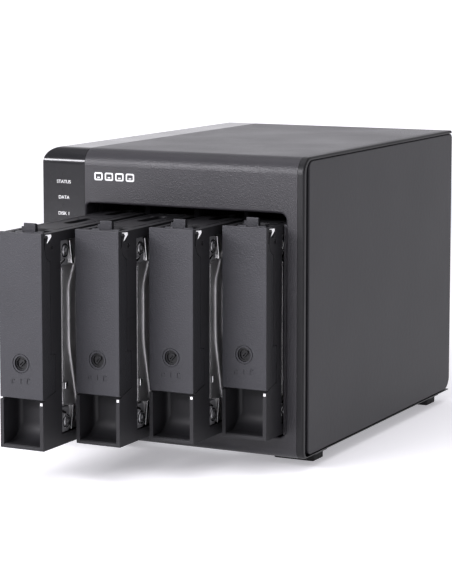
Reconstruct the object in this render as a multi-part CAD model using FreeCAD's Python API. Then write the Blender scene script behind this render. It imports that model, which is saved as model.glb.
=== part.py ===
"""A four-bay network storage box with its drive trays drawn out in steps.

Units are millimetres. X runs across the front from left to right, Y runs from the front to the
back and Z is up, with the desk at Z = 0. Every shape is drawn with the front face of the bezel at
Y = 0, and save() then moves it so that the origin is at the bottom centre of the whole object.
"""
import FreeCAD
import Part
import math
import os
from FreeCAD import Vector

# ---------------------------------------------------------------- driving dimensions
case_width = 160.0
case_height = 168.5
case_depth = 219.0
foot_height = 6.6              # desk to the underside of the case
wall = 2.2                     # moulded plastic
sheet = 1.2                    # folded steel
gap = 0.3                      # between pieces that move past each other
seam = 0.15                    # between pieces that only meet

bay_count = 4
bay_pitch = 30.5
tray_width = 26.0
pull_out = (93.4, 67.6, 43.5, 18.9)    # how far each tray stands out, from the left
tray_travel = 172.0            # from home to just clear of the case

strip_width = 26.7             # glossy status strip at the left of the front
bead_width = 3.7               # rounded bead that borders the right side
front_top_radius = 9.0
front_bottom_radius = 5.0
left_top_radius = 8.0

bay_left = -52.4
bay_bottom = 18.3
bay_top = 138.6
bay_right = bay_left + bay_count * bay_pitch

tray_bottom = 19.8
tray_top = 133.0
tray_height = tray_top - tray_bottom
tray_block_depth = 19.0        # moulded block behind the tray's face
drive_length = 147.0           # the 3.5 inch drive standard
drive_height = 101.6
drive_thickness = 26.1

front_y = -(case_depth - max(pull_out)) / 2.0

# ---------------------------------------------------------------- derived places
left = -case_width / 2.0
right = case_width / 2.0
top = case_height
bottom = foot_height
strip_edge = left + strip_width
bead_edge = right - bead_width
cover_back = case_depth - 2.0
rear_y = case_depth - 6.0      # inner face of the rear panel
bezel_depth = 12.0
drive_bottom = (tray_bottom + tray_top - drive_height) / 2.0
drive_top = drive_bottom + drive_height
drive_front = tray_block_depth + 0.6
drive_back = drive_front + drive_length
socket_back = drive_back + 9.0
fan_size = 120.0
fan_depth = 25.0
fan_x = (bay_left + bay_right) / 2.0
fan_z = 84.0
board_x = left + 8.0           # left face of the upright main board
board_thickness = 1.6
strip_x = left + strip_width / 2.0


def bay_x(number):
    """Centre of a bay or tray, counted from 0 at the left."""
    return bay_left + (number + 0.5) * bay_pitch


# ---------------------------------------------------------------- shape helpers
def box(x0, x1, y0, y1, z0, z1):
    return Part.makeBox(x1 - x0, y1 - y0, z1 - z0, Vector(x0, y0, z0))


def rod(start, direction, radius, length):
    return Part.makeCylinder(radius, length, Vector(*start), Vector(*direction))


def tube(start, direction, outer, inner, length):
    return rod(start, direction, outer, length).cut(rod(start, direction, inner, length))


def place(plane, u, v, w):
    """A point from two in-plane coordinates and the one along the plane's normal."""
    return {"x": Vector(w, u, v), "y": Vector(u, w, v), "z": Vector(u, v, w)}[plane]


def prism(plane, corners, start, end):
    """Extrudes an outline along the plane's normal. A corner is (u, v) or (u, v, radius)."""
    flat = [Vector(c[0], c[1], 0) for c in corners]
    ends = []
    for i, here in enumerate(flat):
        radius = corners[i][2] if len(corners[i]) > 2 else 0.0
        to_last = (flat[i - 1] - here).normalize()
        to_next = (flat[(i + 1) % len(flat)] - here).normalize()
        if radius <= 0:
            ends.append((here, None, here))
            continue
        half = to_last.getAngle(to_next) / 2.0
        reach = radius / math.tan(half)
        bisector = (to_last + to_next).normalize()
        middle = here + bisector * (radius / math.sin(half) - radius)
        ends.append((here + to_last * reach, middle, here + to_next * reach))
    edges = []
    for i, (first, middle, last) in enumerate(ends):
        if middle is not None:
            points = [place(plane, p.x, p.y, start) for p in (first, middle, last)]
            edges.append(Part.Arc(*points).toShape())
        following = ends[(i + 1) % len(ends)][0]
        if (following - last).Length > 1e-6:
            points = [place(plane, p.x, p.y, start) for p in (last, following)]
            edges.append(Part.LineSegment(*points).toShape())
    face = Part.Face(Part.Wire(edges))
    return face.extrude(place(plane, 0, 0, end - start))


def panel(plane, u0, u1, v0, v1, radius, start, end):
    """A rectangle with rounded corners. radius is one number or four, from (u0, v0) round."""
    radii = radius if isinstance(radius, (tuple, list)) else (radius,) * 4
    corners = [(u0, v0), (u1, v0), (u1, v1), (u0, v1)]
    return prism(plane, [c + (r,) for c, r in zip(corners, radii)], start, end)


def slot(plane, u, v, length, width, start, end):
    """A round-ended slot, longest along u, centred on (u, v)."""
    return panel(plane, u - length / 2, u + length / 2, v - width / 2, v + width / 2,
                 min(length, width) / 2 - 0.001, start, end)


def join(shapes):
    shapes = list(shapes)
    return shapes[0].multiFuse(shapes[1:]).removeSplitter() if len(shapes) > 1 else shapes[0]


def cut(shape, tools):
    tools = list(tools)
    return shape.cut(tools) if tools else shape


def soften(shape, radius, wanted):
    """Rounds the edges for which wanted(edge) is true."""
    edges = [e for e in shape.Edges if wanted(e)]
    return shape.makeFillet(radius, edges) if edges else shape


def at(edge, **limits):
    """True if all of an edge lies on the given planes, such as at(edge, y=0)."""
    bounds = edge.BoundBox
    spans = {"x": (bounds.XMin, bounds.XMax), "y": (bounds.YMin, bounds.YMax),
             "z": (bounds.ZMin, bounds.ZMax)}
    return all(abs(low - value) < 0.02 and abs(high - value) < 0.02
               for axis, value in limits.items() for low, high in [spans[axis]])


def save(name, shapes):
    """Writes one node, which may hold several separate solids."""
    shapes = shapes if isinstance(shapes, list) else [shapes]
    solids = [solid for shape in shapes for solid in shape.Solids]
    whole = solids[0] if len(solids) == 1 else Part.makeCompound(solids)
    whole.translate(Vector(0, front_y, 0))
    whole.exportStep("parts/" + name + ".step")
    faults = [s for s in solids if not (s.isValid() and s.isClosed())]
    print(f"{name}: {len(solids)} solids, {whole.Volume / 1000:.1f} cm3" + (" FAULTY" if faults else ""))


# ---------------------------------------------------------------- outer case
def side_outline(x0, x1, inset=0.0):
    """The case's side view between two X planes, taken in by inset all round."""
    return panel("x", inset, cover_back, bottom + inset, top - inset,
                 (front_bottom_radius - inset, 0, 0, front_top_radius - inset), x0, x1)


def front_bezel():
    """Moulded front with one rounded opening, hollow behind its rails, and a guide rib at the opening's right."""
    body = side_outline(strip_edge + seam, bead_edge - seam)
    body = body.common(box(left, right, -1, bezel_depth, 0, top + 1))
    opening = panel("y", bay_left, bay_right, bay_bottom, bay_top, (2.5, 4, 4, 2.5), -1, bezel_depth + 1)
    hollows = [
        side_outline(strip_edge + wall, bead_edge - wall, wall).common(
            box(left, right, wall, bezel_depth + 1, bay_top + wall, top)),
        side_outline(strip_edge + wall, bead_edge - wall, wall).common(
            box(left, right, wall, bezel_depth + 1, bottom, bay_bottom - wall)),
    ]
    body = cut(body, [opening] + hollows)
    body = soften(body, 1.3, lambda e: at(e, y=0) and e.BoundBox.XMin > bay_left - 0.1
                  and e.BoundBox.XMax < bay_right + 0.1
                  and e.BoundBox.ZMin > bay_bottom - 0.1 and e.BoundBox.ZMax < bay_top + 0.1)
    rib = box(bay_right - 1.85, bay_right + 0.3, 1.6, bezel_depth - 0.2, bay_bottom - 0.3, tray_top - 0.2)
    return join([body, rib])


def gloss_strip():
    """One glossy moulding that covers the left of the front and runs over the top to the back."""
    outer = side_outline(left, strip_edge).common(
        panel("y", left, strip_edge, bottom, top, (2, 0, 0, left_top_radius), -1, cover_back + 1))
    hollow = side_outline(left, strip_edge + 1, wall)
    front_hollow = hollow.common(
        panel("y", left + wall + 1.2, strip_edge + 1, bottom, top - wall,
              (0, 0, 0, left_top_radius - wall), -1, bezel_depth))
    back_hollow = hollow.common(
        panel("y", left + wall, strip_edge + 1, bottom, top - wall,
              (0, 0, 0, left_top_radius - wall), bezel_depth - 0.01, cover_back + 1))
    panel_top = top - left_top_radius - 1.4
    body = cut(outer, [
        front_hollow, back_hollow,
        box(left - 1, left + wall, 4.6, cover_back + 1, 0, panel_top),
        box(left - 1, left + wall + 2, bezel_depth, cover_back + 1, 0, panel_top),
        box(left - 1, right, bezel_depth, cover_back + 1, 0, bottom + wall + 0.1)]).removeSplitter()
    ports = [
        rod((strip_x, -1, power_z), (0, 1, 0), power_radius + gap, wall + 3),
        rod((strip_x, -1, copy_z), (0, 1, 0), copy_radius + gap, wall + 3),
        panel("y", strip_x - usb_width / 2 - gap, strip_x + usb_width / 2 + gap,
              usb_z - usb_height / 2 - gap, usb_z + usb_height / 2 + gap, 0.6, -1, wall + 3),
    ]
    lamps = [rod((strip_x, -1, z), (0, 1, 0), lamp_radius + 0.05, wall + 3) for z in lamp_heights]
    return cut(body, ports + lamps)


def top_cover():
    """Flat matt top between the glossy strip and the right-hand bead."""
    body = box(strip_edge + seam, bead_edge - seam, bezel_depth + seam, cover_back, top - wall, top)
    lip = box(strip_edge + 6, bead_edge - 6, rear_y + sheet + 0.1, cover_back, top - wall - 2, top - wall)
    return join([body, lip])


def side_frame_right():
    """Inner right wall with the rounded bead that shows round the front, top and bottom."""
    ring = soften(side_outline(bead_edge, right), 1.1,
                  lambda e: at(e, x=right) and e.BoundBox.YMin < cover_back - 0.5)
    inner = panel("x", 2.8, cover_back + 1, bottom + 0.9, top - 1.7, (3.5, 0, 0, 7.0), bead_edge + 1.1, right + 1)
    return ring.cut(inner)


def side_frame_left():
    """Inner left wall of folded steel behind the outer panel."""
    x1 = left + wall + sheet + 0.1
    body = box(left + wall + 0.1, x1, bezel_depth, rear_y - seam, bottom + sheet + 0.1, top - left_top_radius - 6)
    foot = box(x1, x1 + 6, bezel_depth, rear_y - 1, bottom + sheet + 0.1, bottom + 2 * sheet + 0.1)
    return join([body, foot])


def side_panel(side):
    """Painted outer sheet with rounded corners and softened edges."""
    outer, inner = (right - 0.3, right - 2.4) if side > 0 else (left + 0.3, left + 2.1)
    panel_top = top - 2.0 if side > 0 else top - left_top_radius - 2.0
    body = panel("x", 7.3, case_depth, bottom + 1.1, panel_top, (4, 8, 3, 4),
                 min(outer, inner), max(outer, inner))
    return soften(body, 0.8, lambda e: at(e, x=outer))


def chassis_base():
    """Steel floor of the case with rows of vent slots and two screw flanges."""
    floor = box(left + wall + 1.4, bead_edge - seam, bezel_depth + seam, rear_y - seam, bottom, bottom + sheet)
    vents = [slot("z", x, y, 16, 3, bottom - 1, bottom + sheet + 1)
             for x in (-36, -12, 12, 36) for y in range(62, 176, 8)]
    return cut(floor, vents)


foot_places = [(x, y) for x in (-62.0, 62.0) for y in (27.0, 196.0)]
foot_size = (24.0, 13.5)
foot_pad_height = 4.2


def foot_blocks():
    """Moulded bosses under the base that hold the rubber pads."""
    blocks = []
    for x, y in foot_places:
        body = panel("z", x - foot_size[0] / 2 - 1.5, x + foot_size[0] / 2 + 1.5, y - 1.5,
                     y + foot_size[1] + 2.5, 1.5, foot_pad_height, bottom - 0.02)
        blocks.append(body)
    return blocks


def foot_pads():
    """Rubber pads, the only pieces that touch the desk."""
    pads = []
    for x, y in foot_places:
        body = panel("z", x - foot_size[0] / 2, x + foot_size[0] / 2, y, y + foot_size[1], 1.2,
                     0, foot_pad_height - 0.02)
        pads.append(soften(body, 0.5, lambda e: at(e, z=0)))
    return pads


# ---------------------------------------------------------------- controls on the strip
power_radius = 5.6
power_z = 78.0
copy_radius = 4.2
copy_z = 56.0
usb_width = 13.6
usb_height = 6.0
usb_z = 35.0
usb_depth = 14.0
lamp_radius = 0.9
lamp_heights = [153.8 - 8.85 * i for i in range(6)]
button_travel = 1.2


def push_button(z, radius):
    """A round cap with a shallow dish and a wider flange behind the strip."""
    cap = rod((strip_x, 0.15, z), (0, 1, 0), radius, wall + 0.6)
    cap = soften(cap, 0.4, lambda e: abs(e.BoundBox.YMax - 0.15) < 0.02)
    dish = Part.makeSphere(radius * 3.0, Vector(strip_x, 0.15 + 0.45 - radius * 3.0, z))
    flange = rod((strip_x, wall + 0.5, z), (0, 1, 0), radius + 1.4, 1.2)
    stem = rod((strip_x, wall + 1.6, z), (0, 1, 0), 1.6, 1.6)
    return join([cap.cut(dish), flange, stem])


def front_usb_port():
    """Steel socket shell and its plastic tongue behind the strip."""
    shell = panel("y", strip_x - usb_width / 2, strip_x + usb_width / 2, usb_z - usb_height / 2,
                  usb_z + usb_height / 2, 0.5, 0.3, usb_depth)
    mouth = box(strip_x - usb_width / 2 + 0.4, strip_x + usb_width / 2 - 0.4, -1, usb_depth - 0.6,
                usb_z - usb_height / 2 + 0.4, usb_z + usb_height / 2 - 0.4)
    tongue = box(strip_x - 5.4, strip_x + 5.4, 1.6, usb_depth - 0.4, usb_z - 0.2, usb_z + 1.7)
    return [join([shell.cut(mouth), tongue])]


def light_guides():
    """Clear pegs that carry light from the lamps to the strip."""
    return [join([rod((strip_x, 0.05, z), (0, 1, 0), lamp_radius, 6.0),
                  rod((strip_x, wall + 0.3, z), (0, 1, 0), lamp_radius + 0.7, 1.2)]) for z in lamp_heights]


def status_board():
    """Small upright circuit board with six lamps, two switches and the socket's slot."""
    y0 = 7.6
    board = box(left + wall + 2.6, strip_edge - 3.2, y0, y0 + 1.2, 20, 156)
    notch = box(strip_x - usb_width / 2 - 0.4, strip_x + usb_width / 2 + 0.4, y0 - 1, y0 + 3,
                usb_z - usb_height / 2 - 0.4, usb_z + usb_height / 2 + 0.4)
    lamps = [box(strip_x - 1.5, strip_x + 1.5, 6.2, y0, z - 0.8, z + 0.8) for z in lamp_heights]
    switches = [box(strip_x - 3, strip_x + 3, 6.9, y0, z - 3, z + 3) for z in (power_z, copy_z)]
    return join([board.cut(notch)] + lamps + switches)


# ---------------------------------------------------------------- drive cage
rack_front = bezel_depth + 0.4
rack_back = socket_back - 1.0
rib_width = 3.0
rib_reach = 3.8                # how far a rib stands between two trays


def guide_rack(upper):
    """Moulded rack with one rib at each bay boundary, which keeps the trays apart."""
    if upper:
        plate = box(bay_left - 0.2, bay_right + 0.2, rack_front, rack_back, bay_top + 1.4, bay_top + 3.6)
        rib_low, rib_high = tray_top - 4.0, bay_top + 1.4
    else:
        plate = box(bay_left - 0.2, bay_right + 0.2, rack_front, rack_back, tray_bottom - 3.4, tray_bottom - 0.4)
        rib_low, rib_high = tray_bottom - 0.4, tray_bottom + rib_reach
    ribs = []
    for i in range(bay_count + 1):
        x = bay_left + i * bay_pitch
        x0 = max(x - rib_width / 2, bay_left - 0.2)
        x1 = min(x + rib_width / 2, bay_right + 0.2)
        ribs.append(prism("z", [(x0, rack_front + 3), ((x0 + x1) / 2, rack_front), (x1, rack_front + 3),
                                (x1, rack_back), (x0, rack_back)], rib_low, rib_high))
    return join([plate] + ribs)


def cage_walls():
    """Two steel walls that carry the racks and close the bays at each side."""
    walls = []
    for x in (bay_left - 0.3 - sheet, bay_right + 0.3):
        body = box(x, x + sheet, rack_front, rear_y - fan_depth - 2, bottom + sheet + 0.1, bay_top + 12)
        holes = [rod((x - 1, y, z), (1, 0, 0), 3.0, sheet + 2)
                 for y in range(40, 170, 16) for z in range(44, 130, 16)]
        walls.append(cut(body, holes))
    return walls


socket_z = drive_bottom + 34.0     # centre of the drive's plug
plug_half = 21.5


def backplane_board():
    """Circuit board across the back of the bays, with air slots beside each socket."""
    board = box(bay_left + 0.6, bay_right - 0.6, socket_back, socket_back + 1.6, tray_bottom + 2, bay_top - 3)
    slots = []
    for i in range(bay_count):
        slots.append(slot("y", bay_x(i) + 3.0, 112.0, 14, 34, socket_back - 1, socket_back + 3))
        slots.append(slot("y", bay_x(i) + 5.0, socket_z - 6, 9, 52, socket_back - 1, socket_back + 3))
    return cut(board, slots)


def drive_sockets():
    """One data and power socket for each drive, soldered to the backplane."""
    sockets = []
    for i in range(bay_count):
        x = bay_x(i) - 8.2
        body = panel("y", x - 2.6, x + 2.6, socket_z - plug_half + 0.6, socket_z + plug_half - 0.6, 0.6,
                     drive_back - 4.0, socket_back - 0.02)
        groove = box(x - 0.8, x + 0.8, drive_back - 5, drive_back + 1.4, socket_z - plug_half + 2,
                     socket_z + plug_half - 2)
        sockets.append(body.cut(groove))
    return sockets


# ---------------------------------------------------------------- electronics at the left
def main_board():
    """Upright main board in the space beside the bays."""
    body = box(board_x, board_x + board_thickness, 20, rear_y - 4, 14, 150)
    holes = [rod((board_x - 1, y, z), (1, 0, 0), 1.7, 5) for y in (28, rear_y - 10) for z in (20, 144)]
    return cut(body, holes)


def heat_sink():
    """Finned aluminium block over the processor."""
    x0 = board_x + board_thickness + 2.2
    base = box(x0, x0 + 2.5, 78, 120, 70, 112)
    fins = [box(x0 + 2.4, x0 + 9.5, 78.6 + 4.5 * i, 79.8 + 4.5 * i, 70.4, 111.6) for i in range(10)]
    return join([base] + fins)


def board_parts():
    """Chips, coils, capacitors, the memory, the clock cell and the board's posts."""
    x0 = board_x + board_thickness + 0.02
    solids = [box(x0, x0 + 2.1, 86, 112, 78, 104)]
    solids += [box(x0, x0 + 1.2, 128, 139, z, z + 9) for z in (74, 86, 98, 110)]
    solids += [box(x0, x0 + 5.2, 160, 174, z, z + 17) for z in (100, 124)]
    solids += [panel("x", y, y + 9, 30, 39, 1.5, x0, x0 + 5) for y in (50, 64, 78)]
    solids += [rod((x0, y, 52), (1, 0, 0), 3.2, 9) for y in (52, 62, 72, 82)]
    solids += [rod((x0, 150, 46), (1, 0, 0), 10.0, 3.4)]
    solids += [box(x0, x0 + 4.2, 110, 130, 24, 56)]
    posts = [rod((left + wall + sheet + 0.2, y, z), (1, 0, 0), 3.0, board_x - left - wall - sheet - 0.24)
             for y in (28, rear_y - 10) for z in (20, 144)]
    windowed = [post for post in posts if post.BoundBox.XLength > 0.2]
    return solids + windowed


port_x0 = board_x + board_thickness + 0.02
port_back = rear_y + sheet + 0.4


def lan_jacks():
    """Two network sockets one above the other, open to the rear."""
    jacks = []
    for z in lan_heights:
        shell = box(port_x0, port_x0 + 13.4, port_back - 18, port_back, z - 8, z + 8)
        mouth = box(port_x0 + 2.2, port_x0 + 9.6, port_back - 13, port_back + 1, z - 5.9, z + 5.9)
        latch = box(port_x0 + 9.5, port_x0 + 11.8, port_back - 13, port_back + 1, z - 3.0, z + 3.0)
        jacks.append(cut(shell, [mouth, latch]))
    return jacks


def rear_usb_ports():
    """Three sockets for outside drives, each a shell with a tongue."""
    ports = []
    for z in usb_heights:
        shell = box(port_x0, port_x0 + 6.0, port_back - 14, port_back, z - 6.8, z + 6.8)
        mouth = box(port_x0 + 0.5, port_x0 + 5.5, port_back - 13, port_back + 1, z - 6.3, z + 6.3)
        tongue = box(port_x0 + 0.9, port_x0 + 2.8, port_back - 13.5, port_back - 1.2, z - 5.4, z + 5.4)
        ports.append(join([shell.cut(mouth), tongue]))
    return ports


def power_jack():
    """Round direct-current inlet with its centre pin."""
    x = port_x0 + 5.2
    block = box(port_x0, port_x0 + 10.4, port_back - 14, port_back, jack_z - 5.2, jack_z + 5.2)
    bore = rod((x, port_back - 11, jack_z), (0, 1, 0), 3.2, 12)
    pin = rod((x, port_back - 12, jack_z), (0, 1, 0), 1.0, 11)
    return join([block.cut(bore), pin])


lan_heights = (126.0, 106.0)
usb_heights = (86.0, 68.0, 50.0)
jack_z = 26.0
reset_z = 140.0
reset_radius = 1.5


def reset_button():
    """Recessed pin that is pressed with a thin tool."""
    x = port_x0 + 4.0
    pin = rod((x, port_back - 0.9, reset_z), (0, -1, 0), reset_radius, 3.0)
    collar = rod((x, port_back - 2.6, reset_z), (0, -1, 0), reset_radius + 0.9, 1.2)
    return join([pin, collar])


# ---------------------------------------------------------------- rear panel and fan
fan_hole_pitch = 105.0
fan_holes = [(fan_x + sx * fan_hole_pitch / 2, fan_z + sz * fan_hole_pitch / 2)
             for sx in (-1, 1) for sz in (-1, 1)]
lock_slot_z = 150.0
column_edge = -53.6             # where the socket plate meets the rear panel


def ring_slots(centre_x, centre_z, radii, width, web, start, end):
    """Arc-shaped air slots in rings, each ring cut by four webs."""
    tools = []
    for radius in radii:
        tools.append(tube((centre_x, start, centre_z), (0, 1, 0), radius + width / 2, radius - width / 2, end - start))
    webs = []
    reach = max(radii) + width
    for angle in (45, 135):
        bar = box(-reach, reach, start, end, -web / 2, web / 2)
        bar.rotate(Vector(0, 0, 0), Vector(0, 1, 0), angle)
        bar.translate(Vector(centre_x, 0, centre_z))
        webs.append(bar)
    return [cut(tool, webs) for tool in tools]


def rear_panel():
    """Steel back with the fan grille, the security slot and the screw holes."""
    y0, y1 = rear_y, rear_y + sheet
    body = panel("y", column_edge + seam, bead_edge - seam, bottom + sheet + 0.1, top - wall - 0.2, 1.0, y0, y1)
    tools = ring_slots(fan_x, fan_z, [11 + 7.4 * i for i in range(7)], 5.2, 4.0, y0 - 1, y1 + 1)
    tools.append(slot("y", bay_right - 20, lock_slot_z, 7.0, 3.0, y0 - 1, y1 + 1))
    tools += [rod((x, y0 - 1, z), (0, 1, 0), 2.2, sheet + 2) for x, z in fan_holes]
    tools += [rod((x, y0 - 1, z), (0, 1, 0), 1.6, sheet + 2) for x, z in case_screw_places if x > column_edge]
    return cut(body, tools)


def socket_plate():
    """Steel column at the left of the back, cut out for the sockets of the main board."""
    y0, y1 = rear_y, rear_y + sheet
    body = panel("y", left + wall + 1.3, column_edge - seam, bottom + sheet + 0.1, top - wall - 0.2,
                 (1.0, 1.0, 1.0, 5.5), y0, y1)
    tools = [box(port_x0 - 0.3, port_x0 + 13.7, y0 - 1, y1 + 1, z - 8.3, z + 8.3) for z in lan_heights]
    tools += [box(port_x0 - 0.3, port_x0 + 6.3, y0 - 1, y1 + 1, z - 7.1, z + 7.1) for z in usb_heights]
    tools.append(box(port_x0 - 0.3, port_x0 + 10.7, y0 - 1, y1 + 1, jack_z - 5.5, jack_z + 5.5))
    tools.append(rod((port_x0 + 4.0, y0 - 1, reset_z), (0, 1, 0), reset_radius + gap, sheet + 2))
    tools += [rod((x, y0 - 1, z), (0, 1, 0), 1.6, sheet + 2) for x, z in case_screw_places if x < column_edge]
    return cut(body, tools)


case_screw_places = [(x, z) for x in (left + 10.0, 20.0, bead_edge - 5.0) for z in (13.0, top - 8.0)]


def screw(x, z, y, head_radius, shank_radius, shank):
    """A pan-head screw that points forward, with a cross recess in its head."""
    head = rod((x, y, z), (0, 1, 0), head_radius, 1.8)
    head = soften(head, 0.8, lambda e: abs(e.BoundBox.YMin - y - 1.8) < 0.02)
    body = join([head, rod((x, y + 0.1, z), (0, -1, 0), shank_radius, shank + 0.1)])
    recess = [box(x - 1.5, x + 1.5, y + 0.9, y + 2, z - 0.35, z + 0.35),
              box(x - 0.35, x + 0.35, y + 0.9, y + 2, z - 1.5, z + 1.5)]
    return cut(body, recess)


def fan_frame():
    """Square fan body with its round duct, screw bosses and the motor's spokes."""
    y0, y1 = rear_y - fan_depth - 0.2, rear_y - 0.2
    half = fan_size / 2
    body = panel("y", fan_x - half, fan_x + half, fan_z - half, fan_z + half, 5, y0, y1)
    duct = rod((fan_x, y0 - 1, fan_z), (0, 1, 0), half - 2.5, fan_depth + 2)
    waist = tube((fan_x, y0 + 4, fan_z), (0, 1, 0), half + 30, half - 0.2, fan_depth - 8)
    holes = [rod((x, y0 - 1, z), (0, 1, 0), 2.15, fan_depth + 2) for x, z in fan_holes]
    body = cut(body, [duct, waist] + holes)
    spokes = []
    for i in range(4):
        bar = box(17, half - 2.2, y1 - 4.0, y1 - 1.0, -1.8, 1.8)
        bar.rotate(Vector(0, 0, 0), Vector(0, 1, 0), 20 + 90 * i)
        bar.translate(Vector(fan_x, 0, fan_z))
        spokes.append(bar)
    seat = rod((fan_x, y1 - 4.0, fan_z), (0, 1, 0), 20.0, 3.0)
    post = rod((fan_x, y1 - 8.0, fan_z), (0, 1, 0), 3.0, 5.0)
    return join([body, seat, post] + spokes)


def fan_rotor():
    """Hub with seven curved, twisted blades that turn on the motor's post."""
    y0 = rear_y - fan_depth + 1.6
    y1 = y0 + 17.0
    hub = rod((fan_x, y0, fan_z), (0, 1, 0), 20.0, y1 - y0)
    hub = soften(hub, 1.5, lambda e: abs(e.BoundBox.YMax - y0) < 0.02)
    hub = hub.cut(rod((fan_x, y0 + 2.0, fan_z), (0, 1, 0), 18.2, y1 - y0))
    axle = tube((fan_x, y0 + 1.9, fan_z), (0, 1, 0), 5.0, 3.1, y1 - y0 - 1.9)
    blades = []
    for i in range(7):
        sections = []
        for radius, turn, width in ((18.9, 0, 15.0), (38.0, 16, 15.5), (55.5, 36, 14.0)):
            half, thick = width / 2, 0.75
            tilt = math.radians(48 - 0.36 * radius)
            dy, dt = math.cos(tilt), math.sin(tilt)
            corners = []
            for along, across in ((-half, -thick), (half, -thick), (half, thick), (-half, thick)):
                t = along * dt * 1.7 + across * dy
                y = (y0 + y1) / 2 + along * dy - across * dt
                corners.append(Vector(t, y, radius))
            wire = Part.makePolygon(corners + [corners[0]])
            wire.rotate(Vector(0, 0, 0), Vector(0, 1, 0), turn + 360.0 * i / 7)
            sections.append(wire)
        blade = Part.makeLoft(sections, True, False)
        blade.translate(Vector(fan_x, 0, fan_z))
        blades.append(blade)
    rotor = join([hub, axle] + blades)
    space = rod((fan_x, y0 - 0.5, fan_z), (0, 1, 0), fan_size / 2 - 3.7, y1 - y0 + 1.0)
    inside = rod((fan_x, y0 + 2.0, fan_z), (0, 1, 0), 18.2, y1 - y0).cut(
        rod((fan_x, y0, fan_z), (0, 1, 0), 5.0, y1 - y0 + 1))
    return rotor.common(space).cut(inside)


# ---------------------------------------------------------------- trays
pivot_back = 10.5              # the handle's pivot, behind the tray's face
pivot_z = 124.8
pin_radius = 1.25
barrel_radius = 3.0
flange_top = 124.3
ear_radius = 7.4               # the ears' round edge, which the flanges follow
handle_bottom = 46.6
plate_thickness = 2.4
flange = 1.3
flange_depth = 8.3
grip_depth = 12.6              # deeper part of the flange, beside the grip
grip_top = 69.0
lock_z = 65.0
lock_radius = 3.7
lock_ring = 5.1
tab_half = 3.45
tab_top = 137.1
half_width = tray_width / 2.0
ear_inside = half_width - 3.3  # inner face of the ears that hold the hinge pin
recess_depth = 15.5
plate_lift = 1.8               # thickness of the tray's top and bottom plates
drive_pin_places = (28.5, 41.3 + 28.5, 101.6 + 28.5)


def flange_outline(grow):
    """Side view of the handle's flange, from the plate's back, as corners in (y, z)."""
    low = handle_bottom - grow
    return [
        (-1.0, low), (2.0, low), (grip_depth + grow, low + 3.0), (grip_depth + grow, grip_top + grow, 1.0),
        (flange_depth + grow, grip_top + grow), (flange_depth + grow, flange_top + grow), (-1.0, flange_top + grow),
    ]


def handle(number):
    """Swinging front of a tray: plate, side flanges, hinge barrel and the tab that levers on the case."""
    x = bay_x(number)
    y = -pull_out[number]
    py = y + pivot_back
    plate = panel("y", x - half_width, x + half_width, handle_bottom, tray_top, 0.4, y, y + plate_thickness)
    plate = soften(plate, 0.35, lambda e: at(e, y=y))
    outline = [(y + c[0],) + tuple(c[1:]) for c in flange_outline(0.0)]
    keep = box(x - 40, x + 40, y + 0.8, y + 40, 0, 200)
    ears = rod((x - 40, py, pivot_z), (1, 0, 0), ear_radius, 80)
    flanges = [prism("x", outline, x0, x0 + flange).common(keep).cut(ears)
               for x0 in (x - half_width, x + half_width - flange)]
    barrel_half = ear_inside - 0.2
    barrel = rod((x - barrel_half, py, pivot_z), (1, 0, 0), barrel_radius, 2 * barrel_half)
    web = box(x - barrel_half, x + barrel_half, y + plate_thickness - 0.4, py, pivot_z - 2.9, pivot_z - 0.4)
    tab = prism("x", [(py - 0.8, pivot_z), (py + 2.4, pivot_z), (py + 1.6, tab_top - 0.8, 0.6),
                      (py - 0.8, tab_top, 0.4)], x - tab_half, x + tab_half)
    knuckles = [panel("x", py - 1.6, py + 1.6, pivot_z, tray_top - 0.4, (0, 0, 0.5, 0.5), a, b)
                for a, b in ((x - 8.2, x - tab_half + 0.1), (x + tab_half - 0.1, x + 8.2))]
    gusset = prism("x", [(py - 0.2, pivot_z + 3), (py + 1.4, pivot_z + 3), (py + 1.4, tab_top - 2.6),
                         (py - 0.2, tab_top - 2.0)], x - tab_half - 1.7, x - tab_half + 0.1)
    boss = rod((x, y + 1.0, lock_z), (0, 1, 0), lock_radius + 2.0, 5.0)
    body = join([plate] + flanges + [barrel, web, tab, gusset, boss] + knuckles)
    tools = [
        rod((x - 40, py, pivot_z), (1, 0, 0), pin_radius + 0.06, 80),
        rod((x, y - 1, lock_z), (0, 1, 0), lock_radius + 0.15, 20),
        tube((x, y - 1, lock_z), (0, 1, 0), lock_ring, lock_ring - 0.45, 1.5),
    ]
    tools += lock_marks(x, y)
    return cut(body, tools)


def lock_marks(x, y):
    """Small engraved signs under the lock: a closed padlock, a pointer line and an open one."""
    depth = 0.3
    z = lock_z - 9.2
    tools = [box(x - 0.25, x + 0.25, y - 1, y + depth, z - 1.3, z + 1.3)]
    for side, lift in ((-1, 0.0), (1, 0.7)):
        cx = x + side * 4.6
        tools.append(box(cx - 1.1, cx + 1.1, y - 1, y + depth, z - 1.4, z + 0.1))
        loop = tube((cx, y - 1, z + 0.1 + lift), (0, 1, 0), 0.95, 0.55, 1 + depth)
        tools.append(loop.common(box(cx - 2, cx + 2, y - 1, y + 1, z + 0.1 + lift, z + 3)))
        if lift:
            tools.append(box(cx - 0.95, cx - 0.55, y - 1, y + depth, z + 0.1, z + 0.15 + lift))
    return tools


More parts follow.
